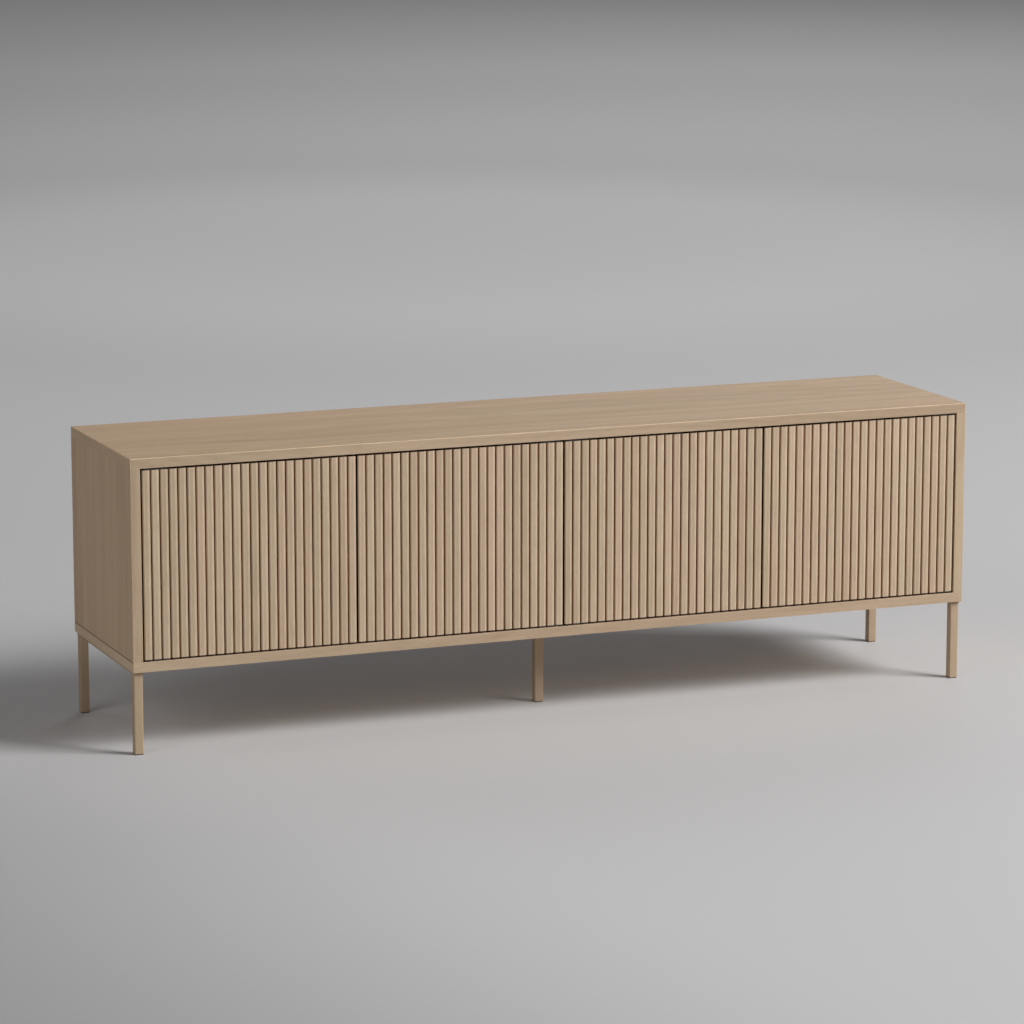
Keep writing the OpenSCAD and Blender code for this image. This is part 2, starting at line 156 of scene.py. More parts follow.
def blend_colours(tree, share, first, second):
    inputs = {"Factor": share, 6: first, 7: second}
    return put(tree, "ShaderNodeMix", inputs, data_type="RGBA").outputs[2]


def vector_node(tree, operation, first, second):
    return put(tree, "ShaderNodeVectorMath", {0: first, 1: second}, operation=operation).outputs[0]


def stretched_noise(tree, vector, stretch, detail):
    """Noise whose spots are 1 / stretch metres long in each direction."""
    scaled = vector_node(tree, "MULTIPLY", vector, stretch)
    inputs = {"Vector": scaled, "Scale": 1.0, "Detail": detail}
    return put(tree, "ShaderNodeTexNoise", inputs).outputs["Fac"]


def new_group(name, inputs, outputs):
    """Makes an empty node group and returns it with its input and output nodes."""
    group = bpy.data.node_groups.new(name, "ShaderNodeTree")
    for title, kind, value in inputs:
        socket = group.interface.new_socket(title, in_out="INPUT", socket_type=kind)
        if value is not None:
            socket.default_value = value
    for title, kind in outputs:
        group.interface.new_socket(title, in_out="OUTPUT", socket_type=kind)
    given = group.nodes.new("NodeGroupInput").outputs
    result = group.nodes.new("NodeGroupOutput").inputs
    return group, given, result


NUMBER, COLOUR, VECTOR = "NodeSocketFloat", "NodeSocketColor", "NodeSocketVector"

# %% [markdown]
# ## Wood grain as a node group
# Oak has four things that the eye reads at once: broad streaks of lighter and darker wood, the
# year rings, which a flat cut turns into long arches, fine fibres, and short dark pores. An
# image could carry them, but nodes stay sharp at any distance and never repeat. The rings are
# the contour lines of a smooth noise that is stretched along the grain. Several woods share the
# effect, so it is a group, and each wood gives it its own two colours and strengths.
# The grain runs along X in the group, and a material turns its coordinates to suit its piece.
# The weights say how much each of the four darkens the wood, from the same middle tone.

# %% Group: wood grain
MIDDLE_TONE = 0.45
STREAK_WEIGHT = 1.7
RING_WEIGHT = 0.10
FIBRE_WEIGHT = 0.55
PORE_WEIGHT = 0.35
RING_DENSITY = 190.0


def weighted(tree, value, weight, middle=0.0):
    """How far a value is from its middle, times a weight."""
    offset = math_node(tree, "SUBTRACT", value, middle) if middle else value
    return math_node(tree, "MULTIPLY", offset, weight)


def make_wood_grain():
    group, given, result = new_group(
        "wood grain",
        [("Vector", VECTOR, None), ("Light Wood", COLOUR, (0.6, 0.45, 0.3, 1)),
         ("Dark Wood", COLOUR, (0.45, 0.3, 0.2, 1)), ("Figure", NUMBER, 1.0), ("Pores", NUMBER, 1.0)],
        [("Color", COLOUR), ("Height", NUMBER), ("Roughness", NUMBER)],
    )
    wander = stretched_noise(group, given["Vector"], (1.3, 3.0, 3.0), 1.0)
    sway = math_node(group, "MULTIPLY", math_node(group, "SUBTRACT", wander, 0.5), 0.05)
    drift = put(group, "ShaderNodeCombineXYZ", {"Y": sway, "Z": sway}).outputs[0]
    along = vector_node(group, "ADD", given["Vector"], drift)
    streaks = stretched_noise(group, along, (1.1, 26.0, 26.0), 3.0)
    fibres = stretched_noise(group, along, (7.0, 330.0, 330.0), 2.0)
    field = stretched_noise(group, along, (0.55, 5.5, 5.5), 0.5)
    rings = math_node(group, "SINE", math_node(group, "MULTIPLY", field, RING_DENSITY))
    pore_spots = stretched_noise(group, along, (70.0, 1500.0, 1500.0), 0.0)
    inputs = {"Value": pore_spots, "From Min": 0.6, "From Max": 0.72}
    pores = put(group, "ShaderNodeMapRange", inputs).outputs[0]
    pores = math_node(group, "MULTIPLY", pores, given["Pores"])
    tone = weighted(group, streaks, STREAK_WEIGHT, 0.5)
    tone = math_node(group, "ADD", tone, weighted(group, rings, RING_WEIGHT))
    tone = math_node(group, "ADD", tone, weighted(group, fibres, FIBRE_WEIGHT, 0.5))
    tone = math_node(group, "MULTIPLY", tone, given["Figure"])
    tone = math_node(group, "ADD", tone, weighted(group, pores, PORE_WEIGHT))
    share = math_node(group, "ADD", tone, MIDDLE_TONE)
    share = put(group, "ShaderNodeClamp", {"Value": share}).outputs[0]
    wood = blend_colours(group, share, given["Light Wood"], given["Dark Wood"])
    group.links.new(wood, result["Color"])
    height = math_node(group, "SUBTRACT", math_node(group, "MULTIPLY", fibres, 0.4), pores)
    group.links.new(height, result["Height"])
    rough = math_node(group, "ADD", math_node(group, "MULTIPLY", fibres, 0.2), 0.42)
    group.links.new(rough, result["Roughness"])
    return group


wood_grain = make_wood_grain()
print("wood grain uses", len(wood_grain.nodes), "nodes")

# %% [markdown]
# ## Cool and warm wood
# Neighbouring strips of oak are never one colour: some lean to pink and some to green-grey. A
# second small group multiplies a colour by a warm or a cool tint, driven by a slow noise.
# The slats add their own number, stored on the mesh, so that each strip has a tone of its own.

# %% Group: warm and cool
def make_wood_tint():
    group, given, result = new_group(
        "warm and cool",
        [("Vector", VECTOR, None), ("Color", COLOUR, (1, 1, 1, 1)), ("Strip", NUMBER, 0.0)],
        [("Color", COLOUR)],
    )
    slow = stretched_noise(group, given["Vector"], (0.7, 9.0, 9.0), 1.0)
    swing = math_node(group, "MULTIPLY", math_node(group, "SUBTRACT", slow, 0.5), 2.2)
    share = math_node(group, "ADD", math_node(group, "ADD", swing, given["Strip"]), 0.5)
    share = put(group, "ShaderNodeClamp", {"Value": share}).outputs[0]
    tint = blend_colours(group, share, (0.985, 1.0, 0.975, 1), (1.02, 0.99, 0.985, 1))
    inputs = {"Factor": 1.0, 6: given["Color"], 7: tint}
    mixed = put(group, "ShaderNodeMix", inputs, data_type="RGBA", blend_type="MULTIPLY").outputs[2]
    group.links.new(mixed, result["Color"])
    return group


wood_tint = make_wood_tint()

# %% [markdown]
# ## Eased edges
# No real board has a knife edge. A maker sands it over, and hands and cloths keep polishing it,
# so it looks a touch lighter than the face; the mask also paints a highlight where the eased edges
# catch the light. The pieces below mark their eased edges with a number named `eased`, on faces or
# on points. This group turns it into a broken mask that every finish can use for its own lighter edge
# colour.

# %% Group: edge wear and painted highlight
def make_edge_wear_and_highlight():
    group, given, result = new_group(
        "edge wear and painted highlight",
        [("Vector", VECTOR, None), ("Strength", NUMBER, 0.5)],
        [("Mask", NUMBER)],
    )
    eased = put(group, "ShaderNodeAttribute", attribute_name="eased").outputs["Fac"]
    patches = stretched_noise(group, given["Vector"], (30.0, 30.0, 30.0), 2.0)
    mask = math_node(group, "MULTIPLY", eased, math_node(group, "MULTIPLY", patches, given["Strength"]))
    group.links.new(mask, result["Mask"])
    return group


edge_wear_and_highlight = make_edge_wear_and_highlight()

# %% [markdown]
# ## The woods
# One function makes every wooden finish. The Principled shader holds what is even all over, as
# the matt lacquer's clear sheen, and the groups feed what changes: colour, roughness and the
# tiny relief of the pores. A Mapping node turns the pattern so that its grain runs along the
# piece: along X on the top, upright on the sides and doors, and front to back on the end bands.

# %% Wooden finishes
UPRIGHT = (0, math.radians(90), 0)
FRONT_TO_BACK = (0, 0, math.radians(-90))
LATE_WOOD = (0.76, 0.73, 0.70)
STRIP_SHIFT = (7.0, 3.0)
STRIP_LEAN = 0.55
EDGE_WEAR_AND_HIGHLIGHT = 0.9
PORE_DEPTH = 0.15 * MM


def start_material(name, viewport_colour):
    """Makes a material and returns it with its tree, shader and object coordinates."""
    material = bpy.data.materials.new(name)
    material.use_nodes = True
    material.diffuse_color = (*viewport_colour[:3], 1)
    tree = material.node_tree
    shader = tree.nodes["Principled BSDF"]
    return material, tree, shader, put(tree, "ShaderNodeTexCoord").outputs["Object"]


def add_relief(tree, shader, height, depth, strength):
    """Turns a height into relief that is depth metres deep."""
    bump = put(tree, "ShaderNodeBump", {"Height": height, "Distance": depth, "Strength": strength})
    tree.links.new(bump.outputs[0], shader.inputs["Normal"])


def wooden(name, light, turn=(0, 0, 0), figure=1.0, pores=1.0, wear_and_highlight=1.3, gloss=0.3, strips=False):
    """A lacquered wood. The wear-and-highlight factor is how much lighter its eased edges are, as wear
    and as a painted highlight. With strips, each strip's own number shifts its grain and its tint."""
    dark = [part * depth for part, depth in zip(light, LATE_WOOD)]
    worn_and_highlit = [min(1.0, wear_and_highlight * part) for part in light]
    material, tree, shader, place = start_material(name, light)
    place = put(tree, "ShaderNodeMapping", {"Vector": place, "Rotation": turn}).outputs[0]
    lean = 0.0
    if strips:
        strip = put(tree, "ShaderNodeAttribute", attribute_name="strip").outputs["Fac"]
        shift = put(tree, "ShaderNodeCombineXYZ", {
            "X": math_node(tree, "MULTIPLY", strip, STRIP_SHIFT[0]),
            "Y": math_node(tree, "MULTIPLY", strip, STRIP_SHIFT[1]),
        })
        place = vector_node(tree, "ADD", place, shift.outputs[0])
        lean = math_node(tree, "MULTIPLY", strip, STRIP_LEAN)
    grain = put(tree, "ShaderNodeGroup", {
        "Vector": place, "Light Wood": (*light, 1), "Dark Wood": (*dark, 1),
        "Figure": figure, "Pores": pores,
    }, node_tree=wood_grain)
    tinted = put(tree, "ShaderNodeGroup", {
        "Vector": place, "Color": grain.outputs["Color"], "Strip": lean,
    }, node_tree=wood_tint)
    # This mask lightens the eased edges: partly wear, partly a painted highlight.
    inputs = {"Vector": place, "Strength": EDGE_WEAR_AND_HIGHLIGHT}
    edges = put(tree, "ShaderNodeGroup", inputs, node_tree=edge_wear_and_highlight)
    colour = blend_colours(tree, edges.outputs["Mask"], tinted.outputs["Color"], (*worn_and_highlit, 1))
    tree.links.new(colour, shader.inputs["Base Color"])
    tree.links.new(grain.outputs["Roughness"], shader.inputs["Roughness"])
    shader.inputs["Specular IOR Level"].default_value = gloss
    add_relief(tree, shader, grain.outputs["Height"], PORE_DEPTH, 0.6)
    return material


TOP_OAK = (0.594, 0.43, 0.284)
SIDE_OAK = (0.69, 0.487, 0.318)
DOOR_OAK = (0.585, 0.452, 0.321)
BAND_OAK = (0.537, 0.406, 0.281)
RIGHT_BAND_OAK = (0.575, 0.445, 0.308)
PALE_OAK = (0.75, 0.565, 0.39)
oak = {
    # The top and the rails lighten their eased edges most, a painted highlight that draws the thin
    # bright line along the front.
    "top": wooden("oak veneer, grain along", TOP_OAK, wear_and_highlight=1.6),
    "upright": wooden("oak veneer, grain upright", SIDE_OAK, UPRIGHT),
    "rail": wooden("oak edge band, grain along", BAND_OAK, wear_and_highlight=1.6),
    "end": wooden("oak edge band, front to back", SIDE_OAK, FRONT_TO_BACK, 0.8),
    "left stile": wooden("oak edge band, grain upright", BAND_OAK, UPRIGHT),
    "right stile": wooden("light oak edge band, grain upright", RIGHT_BAND_OAK, UPRIGHT),
    "slats": wooden("oak slats", DOOR_OAK, UPRIGHT, wear_and_highlight=1.5, strips=True),
    # The groove finish is a darker, warmer brown that paints the shade deep in the narrow grooves.
    "groove": wooden("oak, painted groove shade", (0.50, 0.28, 0.14), UPRIGHT, gloss=0.1),
    "pale": wooden("pale oak edge band, front to back", PALE_OAK, FRONT_TO_BACK, 0.6),
    # The near-black edge finish is painted shade: it darkens door edges and seams where the gaps fall
    # into shadow.
    "painted_gap_shade": wooden("near-black painted gap shade", (0.045, 0.018, 0.006), UPRIGHT, wear_and_highlight=1.0, gloss=0.05),
    "back": wooden("thin oak back board", (0.50, 0.37, 0.26), UPRIGHT, 0.7),
}
beech = wooden("beech dowel", (0.66, 0.47, 0.30), UPRIGHT, 0.5, 0.4)
print("wooden finishes:", sorted(oak), "and beech")

# %% [markdown]
# ## Raw board
# A veneered panel is pressed wood chips inside. The chips show only in bores and grooves, but a
# bore that is as smooth as the veneer looks wrong when a door is open. Cells of a Voronoi
# texture, each with its own random grey, make the chips.

# %% Raw chipboard
def chipboard():
    material, tree, shader, place = start_material("raw chipboard", (0.5, 0.38, 0.25))
    chips = put(tree, "ShaderNodeTexVoronoi", {"Vector": place, "Scale": 420.0})
    share = put(tree, "ShaderNodeSeparateColor", {0: chips.outputs["Color"]}).outputs[0]
    colour = blend_colours(tree, share, (0.56, 0.42, 0.27, 1), (0.33, 0.23, 0.14, 1))
    tree.links.new(colour, shader.inputs["Base Color"])
    shader.inputs["Roughness"].default_value = 0.9
    add_relief(tree, shader, chips.outputs["Distance"], 0.4 * MM, 0.8)
    return material


raw_board = chipboard()

# %% [markdown]
# ## Paint, metal and plastic
# The small finishes share one idea: an even colour that a slow noise moves a little lighter and
# darker, and a fine noise that gives the surface its skin. Powder coat has a soft orange peel,
# moulded plastic a spark-eroded grain, zinc plate a cloudy dullness and drawn wire fine lines.
# The group puts out the three values that vary, and each material keeps its own shader.

# %% Group: fine skin
def make_fine_skin():
    group, given, result = new_group(
        "fine skin",
        [("Vector", VECTOR, None), ("Color", COLOUR, (0.5, 0.5, 0.5, 1)), ("Clouding", NUMBER, 0.1),
         ("Skin Scale", NUMBER, 1000.0), ("Roughness", NUMBER, 0.5), ("Spread", NUMBER, 0.1)],
        [("Color", COLOUR), ("Roughness", NUMBER), ("Height", NUMBER)],
    )
    inputs = {"Vector": given["Vector"], "Scale": 40.0, "Detail": 3.0}
    clouds = put(group, "ShaderNodeTexNoise", inputs).outputs["Fac"]
    swing = math_node(group, "SUBTRACT", clouds, 0.5)
    level = math_node(group, "ADD", math_node(group, "MULTIPLY", swing, given["Clouding"]), 1.0)
    inputs = {0: given["Color"], "Scale": level}
    colour = put(group, "ShaderNodeVectorMath", inputs, operation="SCALE").outputs[0]
    group.links.new(colour, result["Color"])
    rough = math_node(group, "MULTIPLY", swing, given["Spread"])
    rough = math_node(group, "ADD", rough, given["Roughness"])
    group.links.new(rough, result["Roughness"])
    inputs = {"Vector": given["Vector"], "Scale": given["Skin Scale"], "Detail": 1.0}
    skin = put(group, "ShaderNodeTexNoise", inputs).outputs["Fac"]
    group.links.new(skin, result["Height"])
    return group


fine_skin = make_fine_skin()

# %% [markdown]
# ## The small finishes
# With the group made, each finish is one line: its colour, how rough it is, whether it is metal,
# and how fine and deep its skin is. Only paint wears at its edges, so only paint has a worn colour.

# %% Painted, plated and moulded finishes
def plain(name, colour, roughness, metallic=0.0, skin=1000.0, depth=0.03, clouding=0.12, spread=0.15,
          worn_and_highlit=None, gloss=0.5):
    """An even finish with a fine skin. depth is the skin's relief in millimetres."""
    material, tree, shader, place = start_material(name, colour)
    made = put(tree, "ShaderNodeGroup", {
        "Vector": place, "Color": (*colour, 1), "Clouding": clouding, "Skin Scale": skin,
        "Roughness": roughness, "Spread": spread,
    }, node_tree=fine_skin)
    colour_out = made.outputs["Color"]
    if worn_and_highlit:
        edges = put(tree, "ShaderNodeGroup", {"Vector": place, "Strength": 0.8}, node_tree=edge_wear_and_highlight)
        colour_out = blend_colours(tree, edges.outputs["Mask"], colour_out, (*worn_and_highlit, 1))
    tree.links.new(colour_out, shader.inputs["Base Color"])
    tree.links.new(made.outputs["Roughness"], shader.inputs["Roughness"])
    shader.inputs["Metallic"].default_value = metallic
    shader.inputs["Specular IOR Level"].default_value = gloss
    add_relief(tree, shader, made.outputs["Height"], depth * MM, 0.5)
    return material


leg_paint = plain("leg powder coat", (0.46, 0.34, 0.23), 0.55, skin=900.0, depth=0.05,
                  worn_and_highlit=(0.56, 0.43, 0.30), gloss=0.15)
black_paint = plain("black powder coat", (0.035, 0.035, 0.036), 0.42, skin=1100.0, depth=0.05,
                    worn_and_highlit=(0.09, 0.09, 0.09))
zinc_plate = plain("zinc plate", (0.62, 0.63, 0.64), 0.30, 1.0, 600.0, 0.01, 0.25, 0.25)
cast_zinc = plain("cast zinc", (0.50, 0.51, 0.52), 0.48, 1.0, 1800.0, 0.03, 0.25, 0.2)
spring_wire = plain("drawn spring wire", (0.42, 0.43, 0.45), 0.28, 1.0, 2500.0, 0.01)
nickel = plain("nickel plate", (0.74, 0.72, 0.68), 0.16, 1.0, 300.0, 0.004, 0.08, 0.1)
black_plastic = plain("black moulding", (0.022, 0.022, 0.023), 0.5, skin=2600.0, depth=0.04)
glide_plastic = plain("brown moulding", (0.045, 0.034, 0.026), 0.55, skin=2200.0, depth=0.04)
nylon = plain("black nylon", (0.025, 0.024, 0.023), 0.6, skin=1500.0, depth=0.02, gloss=0.2)
pale_plastic = plain("light grey moulding", (0.60, 0.585, 0.55), 0.45, skin=2600.0, depth=0.03)
dark_plastic = plain("dark grey moulding", (0.13, 0.125, 0.12), 0.42, skin=2600.0, depth=0.03)
print("finishes in all:", len(bpy.data.materials))

# %% [markdown]
# ## From a CAD node to a finished mesh
# A CAD node is loose triangles with knife-sharp edges. It stays as it is, but a copy can be
# welded, its flat faces joined again and its edges eased: that keeps each bore and groove where
# the design has it. The helpers below do this, mark the eased faces, and put the finished mesh on
# its body in place of the hidden node. Weighted normals then keep the big faces flat while the small
# edges shade round.

# %% Mesh helpers
WELD = 0.001 * MM
FLAT = math.radians(0.3)
SHADED_ROUND = math.radians(40)


def welded_copy(node):
    """A bmesh of a CAD node with its points merged and its flat faces joined."""
    bm = bmesh.new()
    bm.from_mesh(frame["nodes"][node].data)
    bmesh.ops.remove_doubles(bm, verts=bm.verts, dist=WELD)
    bmesh.ops.dissolve_limit(bm, angle_limit=FLAT, verts=bm.verts, edges=bm.edges)
    bm.faces.layers.float.new("eased")
    return bm


def add_block(bm, low, high):
    """Adds a block between two corners."""
    points = bmesh.ops.create_cube(bm, size=1.0)["verts"]
    bmesh.ops.scale(bm, vec=high - low, verts=points)
    bmesh.ops.translate(bm, vec=(low + high) / 2, verts=points)


def ease(bm, edges, width, segments=2):
    """Rounds edges over by width and marks the new faces as eased."""
    made = bmesh.ops.bevel(
        bm, geom=edges, offset=width, offset_type="OFFSET", affect="EDGES", segments=segments,
        profile=0.5, material=-1, clamp_overlap=True,
    )
    layer = bm.faces.layers.float.get("eased")
    if layer:
        for face in made["faces"]:
            face[layer] = 1.0


AXES = {"x": 0, "y": 1, "z": 2}


def on_side(point, low, high, side, reach=0.02 * MM):
    """True if a point lies on that side of a box, where side is a sign and an axis, as -x."""
    axis = AXES[side[1]]
    plane = high[axis] if side[0] == "+" else low[axis]
    return abs(point[axis] - plane) < reach


def corner_edges(bm, low, high, *pairs):
    """The edges where two sides of the box meet, for each pair such as "-y+z"."""
    return [
        edge for edge in bm.edges if any(
            all(on_side(v.co, low, high, side) for v in edge.verts for side in (pair[:2], pair[2:]))
            for pair in pairs
        )
    ]


def finish_mesh(bm, name, body, slot, materials, *nodes):
    """Makes the piece, rounds its shading, hangs it on its body and hides the nodes it stands for."""
    mesh = bpy.data.meshes.new(name)
    bm.to_mesh(mesh)
    bm.free()
    for material in materials:
        mesh.materials.append(material)
    mesh.shade_smooth()
    mesh.set_sharp_from_angle(angle=SHADED_ROUND)
    piece = bpy.data.objects.new(name, mesh)
    bpy.context.scene.collection.objects.link(piece)
    piece.modifiers.new("even shading", "WEIGHTED_NORMAL").keep_sharp = True
    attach(piece, body)
    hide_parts(*nodes)
    print(f"{name}: {len(mesh.polygons)} faces")


# %% [markdown]
# ## Top and bottom panels
# The top and bottom run the whole width, and the uprights stand between them. Both are
# chipboard with oak veneer on the faces, an oak band on every edge, and eased corners. The top's
# edges get the softest easing, because hands meet them, and its lit front edge, brightened by a painted
# highlight on its eased faces, is the thin bright line along the cabinet. A face's place tells which
# finish
# it gets: the big faces the first, the ends a band with its grain front to back, the front and back a
# band with its grain along, and whatever lies inside the outline is a bore or a groove in raw board.
# Where the bottom meets a side, the eased edges are painted near-black, as the shade in the thin seam
# between them.

# %% Make the top and bottom panels
FACE, END, RAW, BAND, SEAM = range(5)
TOP_EASE = 1.5
BOARD_EASE = 0.8
INNER_EASE = 0.5


def paint_panel(bm, low, high, finishes):
    """Gives the faces on each axis a finish, such as {"x": END}. Bores and grooves get RAW."""
    for face in bm.faces:
        centre = face.calc_center_median()
        sides = [axis for axis in "xyz" for sign in "-+" if on_side(centre, low, high, sign + axis)]
        face.material_index = finishes.get(sides[0], FACE) if sides else RAW


def make_panel(node, name, easing, finishes, materials, seams=()):
    """Eases a panel's copy. easing gives, for each width in millimetres, its pairs of sides."""
    bm = welded_copy(node)
    low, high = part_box(node)
    paint_panel(bm, low, high, finishes)
    for width, pairs in easing.items():
        ease(bm, corner_edges(bm, low, high, *pairs), width * MM)
    eased = bm.faces.layers.float["eased"]
    # Eased faces along a seam take the near-black finish: painted shade in the joint.
    for face in bm.faces:
        centre = face.calc_center_median()
        for pair in seams:
            ends = (pair[:2], pair[2:])
            if face[eased] and all(on_side(centre, low, high, side, 1 * MM) for side in ends):
                face.material_index = SEAM
                face[eased] = 0.0
    finish_mesh(bm, name, "cabinet", "oak_veneer", materials, node)


LYING_FINISHES = {"x": END, "y": BAND}
LYING = (oak["top"], oak["end"], raw_board, oak["rail"], oak["painted_gap_shade"])
BOTTOM = (oak["top"], oak["pale"], raw_board, oak["rail"], oak["painted_gap_shade"])
CORNERS = ("-x-y", "+x-y", "-x+y", "+x+y")
UPPER_EDGES = ("-y+z", "-x+z", "+x+z", "+y+z")
LOWER_EDGES = ("-y-z", "-x-z", "+x-z", "+y-z")
BOTTOM_SEAMS = ("-x+z", "+x+z")
make_panel("top_panel", "top_board",
           {TOP_EASE: CORNERS + UPPER_EDGES, INNER_EASE: ("-y-z",)},
           LYING_FINISHES, LYING)
make_panel("bottom_panel", "bottom_board",
           {BOARD_EASE: CORNERS + LOWER_EDGES + BOTTOM_SEAMS, INNER_EASE: ("-y+z",)},
           LYING_FINISHES, BOTTOM, BOTTOM_SEAMS)

# %% [markdown]
# ## Sides, divider and shelves
# The sides and the divider are the same board turned upright, so their grain stands upright too,
# on the faces and on the front edge. Their ends are raw, because the top and bottom cover them.
# The lower outer edge of a side is the other half of the seam above the bottom panel, painted near-black
# as its shade.
# The right side's front band is a little lighter than the left's.
# The shelves are plain boards that lie on their pins.

# %% Make the upright panels and the shelves
UPRIGHT_FINISHES = {"y": BAND, "z": END}
for side, seam in (("left", "-x-z"), ("right", "+x-z")):
    boards = (oak["upright"], raw_board, raw_board, oak[f"{side} stile"], oak["painted_gap_shade"])
    make_panel(f"{side}_side_panel", f"{side}_side_board", {BOARD_EASE: CORNERS + (seam,)},
               UPRIGHT_FINISHES, boards, (seam,))
make_panel("centre_divider", "divider_board", {BOARD_EASE: CORNERS}, UPRIGHT_FINISHES,
           (oak["upright"], raw_board, raw_board, oak["left stile"]))
for side in ("left", "right"):
    make_panel(f"{side}_shelf", f"{side}_shelf_board",
               {BOARD_EASE: CORNERS + UPPER_EDGES + LOWER_EDGES}, LYING_FINISHES, LYING)

# %% [markdown]
# ## Back panels
# Each bay is closed by a thin veneered board that slides in grooves, with one round hole for
# cables. The board's outline is hidden in its grooves and a grommet fills the hole, so nothing
# needs easing: the copy only takes its finishes.

# %% Make the back panels
for side in ("left", "right"):
    bm = welded_copy(f"{side}_back_panel")
    low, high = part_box(f"{side}_back_panel")
    paint_panel(bm, low, high, {"z": END})
    finish_mesh(bm, f"{side}_back_board", "cabinet", "back_board",
                (oak["back"], raw_board, raw_board), f"{side}_back_panel")

# %% [markdown]
# ## Finding the solids in a node
# Some CAD nodes hold many equal solids, as the 24 slats of a door do. A new mesh for them needs
# the box of each one. Welding a copy and walking from point to point along its edges finds
# which points belong together, and the corners of each group are its box.

# %% Boxes of separate solids
def solid_boxes(node):
    """The lowest and highest corner of each separate solid in a node, from left to right."""
    bm = welded_copy(node)
    unseen = set(bm.verts)
    boxes = []
    while unseen:
        found = [unseen.pop()]
        for point in found:
            for edge in point.link_edges:
                other = edge.other_vert(point)
                if other in unseen:
                    unseen.remove(other)
                    found.append(other)
        axes = list(zip(*(v.co for v in found)))
        boxes.append((Vector(map(min, axes)), Vector(map(max, axes))))
    bm.free()
    return sorted(boxes, key=lambda box: tuple(round(c, 4) for c in box[0]))


# %% [markdown]
# ## The slats
# A slat is a strip of solid oak, flat in front with both front edges run over by a router. Light
# from the right catches the round of the right edge, and the left round falls into shade, which
# gives the doors their relief. One slat is shaped as a block whose two front edges are bevelled,
# and it is set down once for each slat of the door. Each slat carries a number named `eased` that
# peaks where a round begins, less on the left than on the right, and fades inwards as far as a cut
# across the front: it paints a highlight on the rounds, strongest on the right, which faces the light.
# The flanks take the groove's darker brown, painted shade in the grooves, and the door's outer sides
# and its ends are painted near-black, as shade in the gaps. Copies are told apart by a
# number named `strip`, drawn at random, which moves the grain and the tint.

# %% Make the slats
SLAT_ROUND = 3 * MM
SLAT_STEPS = 5
SLAT_BAND = 5.8 * MM
ROUND_START = 1.1 * SLAT_ROUND
# The `eased` peaks paint a highlight on the rounds; the right one is stronger because the key light
# comes from the right.
RIGHT_PAINTED_HIGHLIGHT = 1.0
LEFT_PAINTED_HIGHLIGHT = 0.6
FLANK = 0.9
DOOR_EDGE, GROOVE_SHADE = 1, 2
random.seed(4)


def slat_blank(low, high):
    """One slat at its place, as a mesh. Its `eased` number, a painted highlight, peaks where each round
    begins.
    """
    bm = bmesh.new()
    add_block(bm, low, high)
    ease(bm, corner_edges(bm, low, high, "-x-y", "+x-y"), SLAT_ROUND, SLAT_STEPS)
    for x in (low.x + SLAT_BAND, high.x - SLAT_BAND):
        everything = bm.verts[:] + bm.edges[:] + bm.faces[:]
        bmesh.ops.bisect_plane(bm, geom=everything, plane_co=(x, 0, 0), plane_no=(1, 0, 0))
    eased = bm.verts.layers.float.new("eased")
    for point in bm.verts:
        if on_side(point.co, low, high, "-y"):
            if high.x - point.co.x < ROUND_START:
                point[eased] = RIGHT_PAINTED_HIGHLIGHT
            elif point.co.x - low.x < ROUND_START:
                point[eased] = LEFT_PAINTED_HIGHLIGHT
    mesh = bpy.data.meshes.new("slat blank")
    bm.to_mesh(mesh)
    bm.free()
    return mesh


def make_slats(number):
    """Sets a blank down at each slat of a door and gives it its strip number and finishes."""
    node = f"door_{number}_slats"
    boxes = solid_boxes(node)
    blank = slat_blank(*boxes[0])
    bm = bmesh.new()
    bm.verts.layers.float.new("eased")
    strip = bm.verts.layers.float.new("strip")
    for low, high in boxes:
        first = len(bm.verts)
        bm.from_mesh(blank)
        bm.verts.ensure_lookup_table()
        slat = bm.verts[first:]
        bmesh.ops.translate(bm, vec=low - boxes[0][0], verts=slat)
        tone = random.uniform(-1, 1)
        for point in slat:
            point[strip] = tone
    bpy.data.meshes.remove(blank)
    low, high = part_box(node)
    bm.normal_update()
    for face in bm.faces:
        centre = face.calc_center_median()
        # Outer sides and ends take the near-black painted gap shade; steep flanks take the groove's
        # painted shade.
        if any(on_side(centre, low, high, side) for side in ("-x", "+x", "-z", "+z")):
            face.material_index = DOOR_EDGE
        elif abs(face.normal.x) > FLANK:
            face.material_index = GROOVE_SHADE
    finish_mesh(bm, f"door_{number}_slat_row", f"door_{number}", "oak_slats",
                (oak["slats"], oak["painted_gap_shade"], oak["groove"]), node)


DOORS = (1, 2, 3, 4)
for number in DOORS:
    make_slats(number)

# %% [markdown]
# ## The door boards
# Each row of slats is glued to a board. Its front shows only as the floor of the grooves, in the
# groove's painted shade, its back is what you see when the door stands open, and its edges are painted
# near-black as shade, so that the gaps round a closed door read as dark lines.

# %% Make the door boards
DOOR_BACK, DOOR_FRONT = 1, 3
DOOR_EASE = 0.6
for number in DOORS:
    node = f"door_{number}_core"
    bm = welded_copy(node)
    low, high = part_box(node)
    paint_panel(bm, low, high, {})
    # The edges keep the first finish, the near-black painted gap shade, and the front takes the groove's
    # painted shade.
    for face in bm.faces:
        centre = face.calc_center_median()
        if on_side(centre, low, high, "+y"):
            face.material_index = DOOR_BACK
        elif on_side(centre, low, high, "-y"):
            face.material_index = DOOR_FRONT
    ease(bm, corner_edges(bm, low, high, "-x+y", "+x+y", "+y+z", "+y-z"), DOOR_EASE * MM)
    finish_mesh(bm, f"door_{number}_board", f"door_{number}", "door_backing",
                (oak["painted_gap_shade"], oak["upright"], raw_board, oak["groove"]), node)

# %% [markdown]
# ## Legs
# A leg is square steel tube with small round corners, open at the foot until its glide is pushed
# in. It starts as a block without its two ends; the four long edges are bevelled, and solidify
# gives the skin its wall.

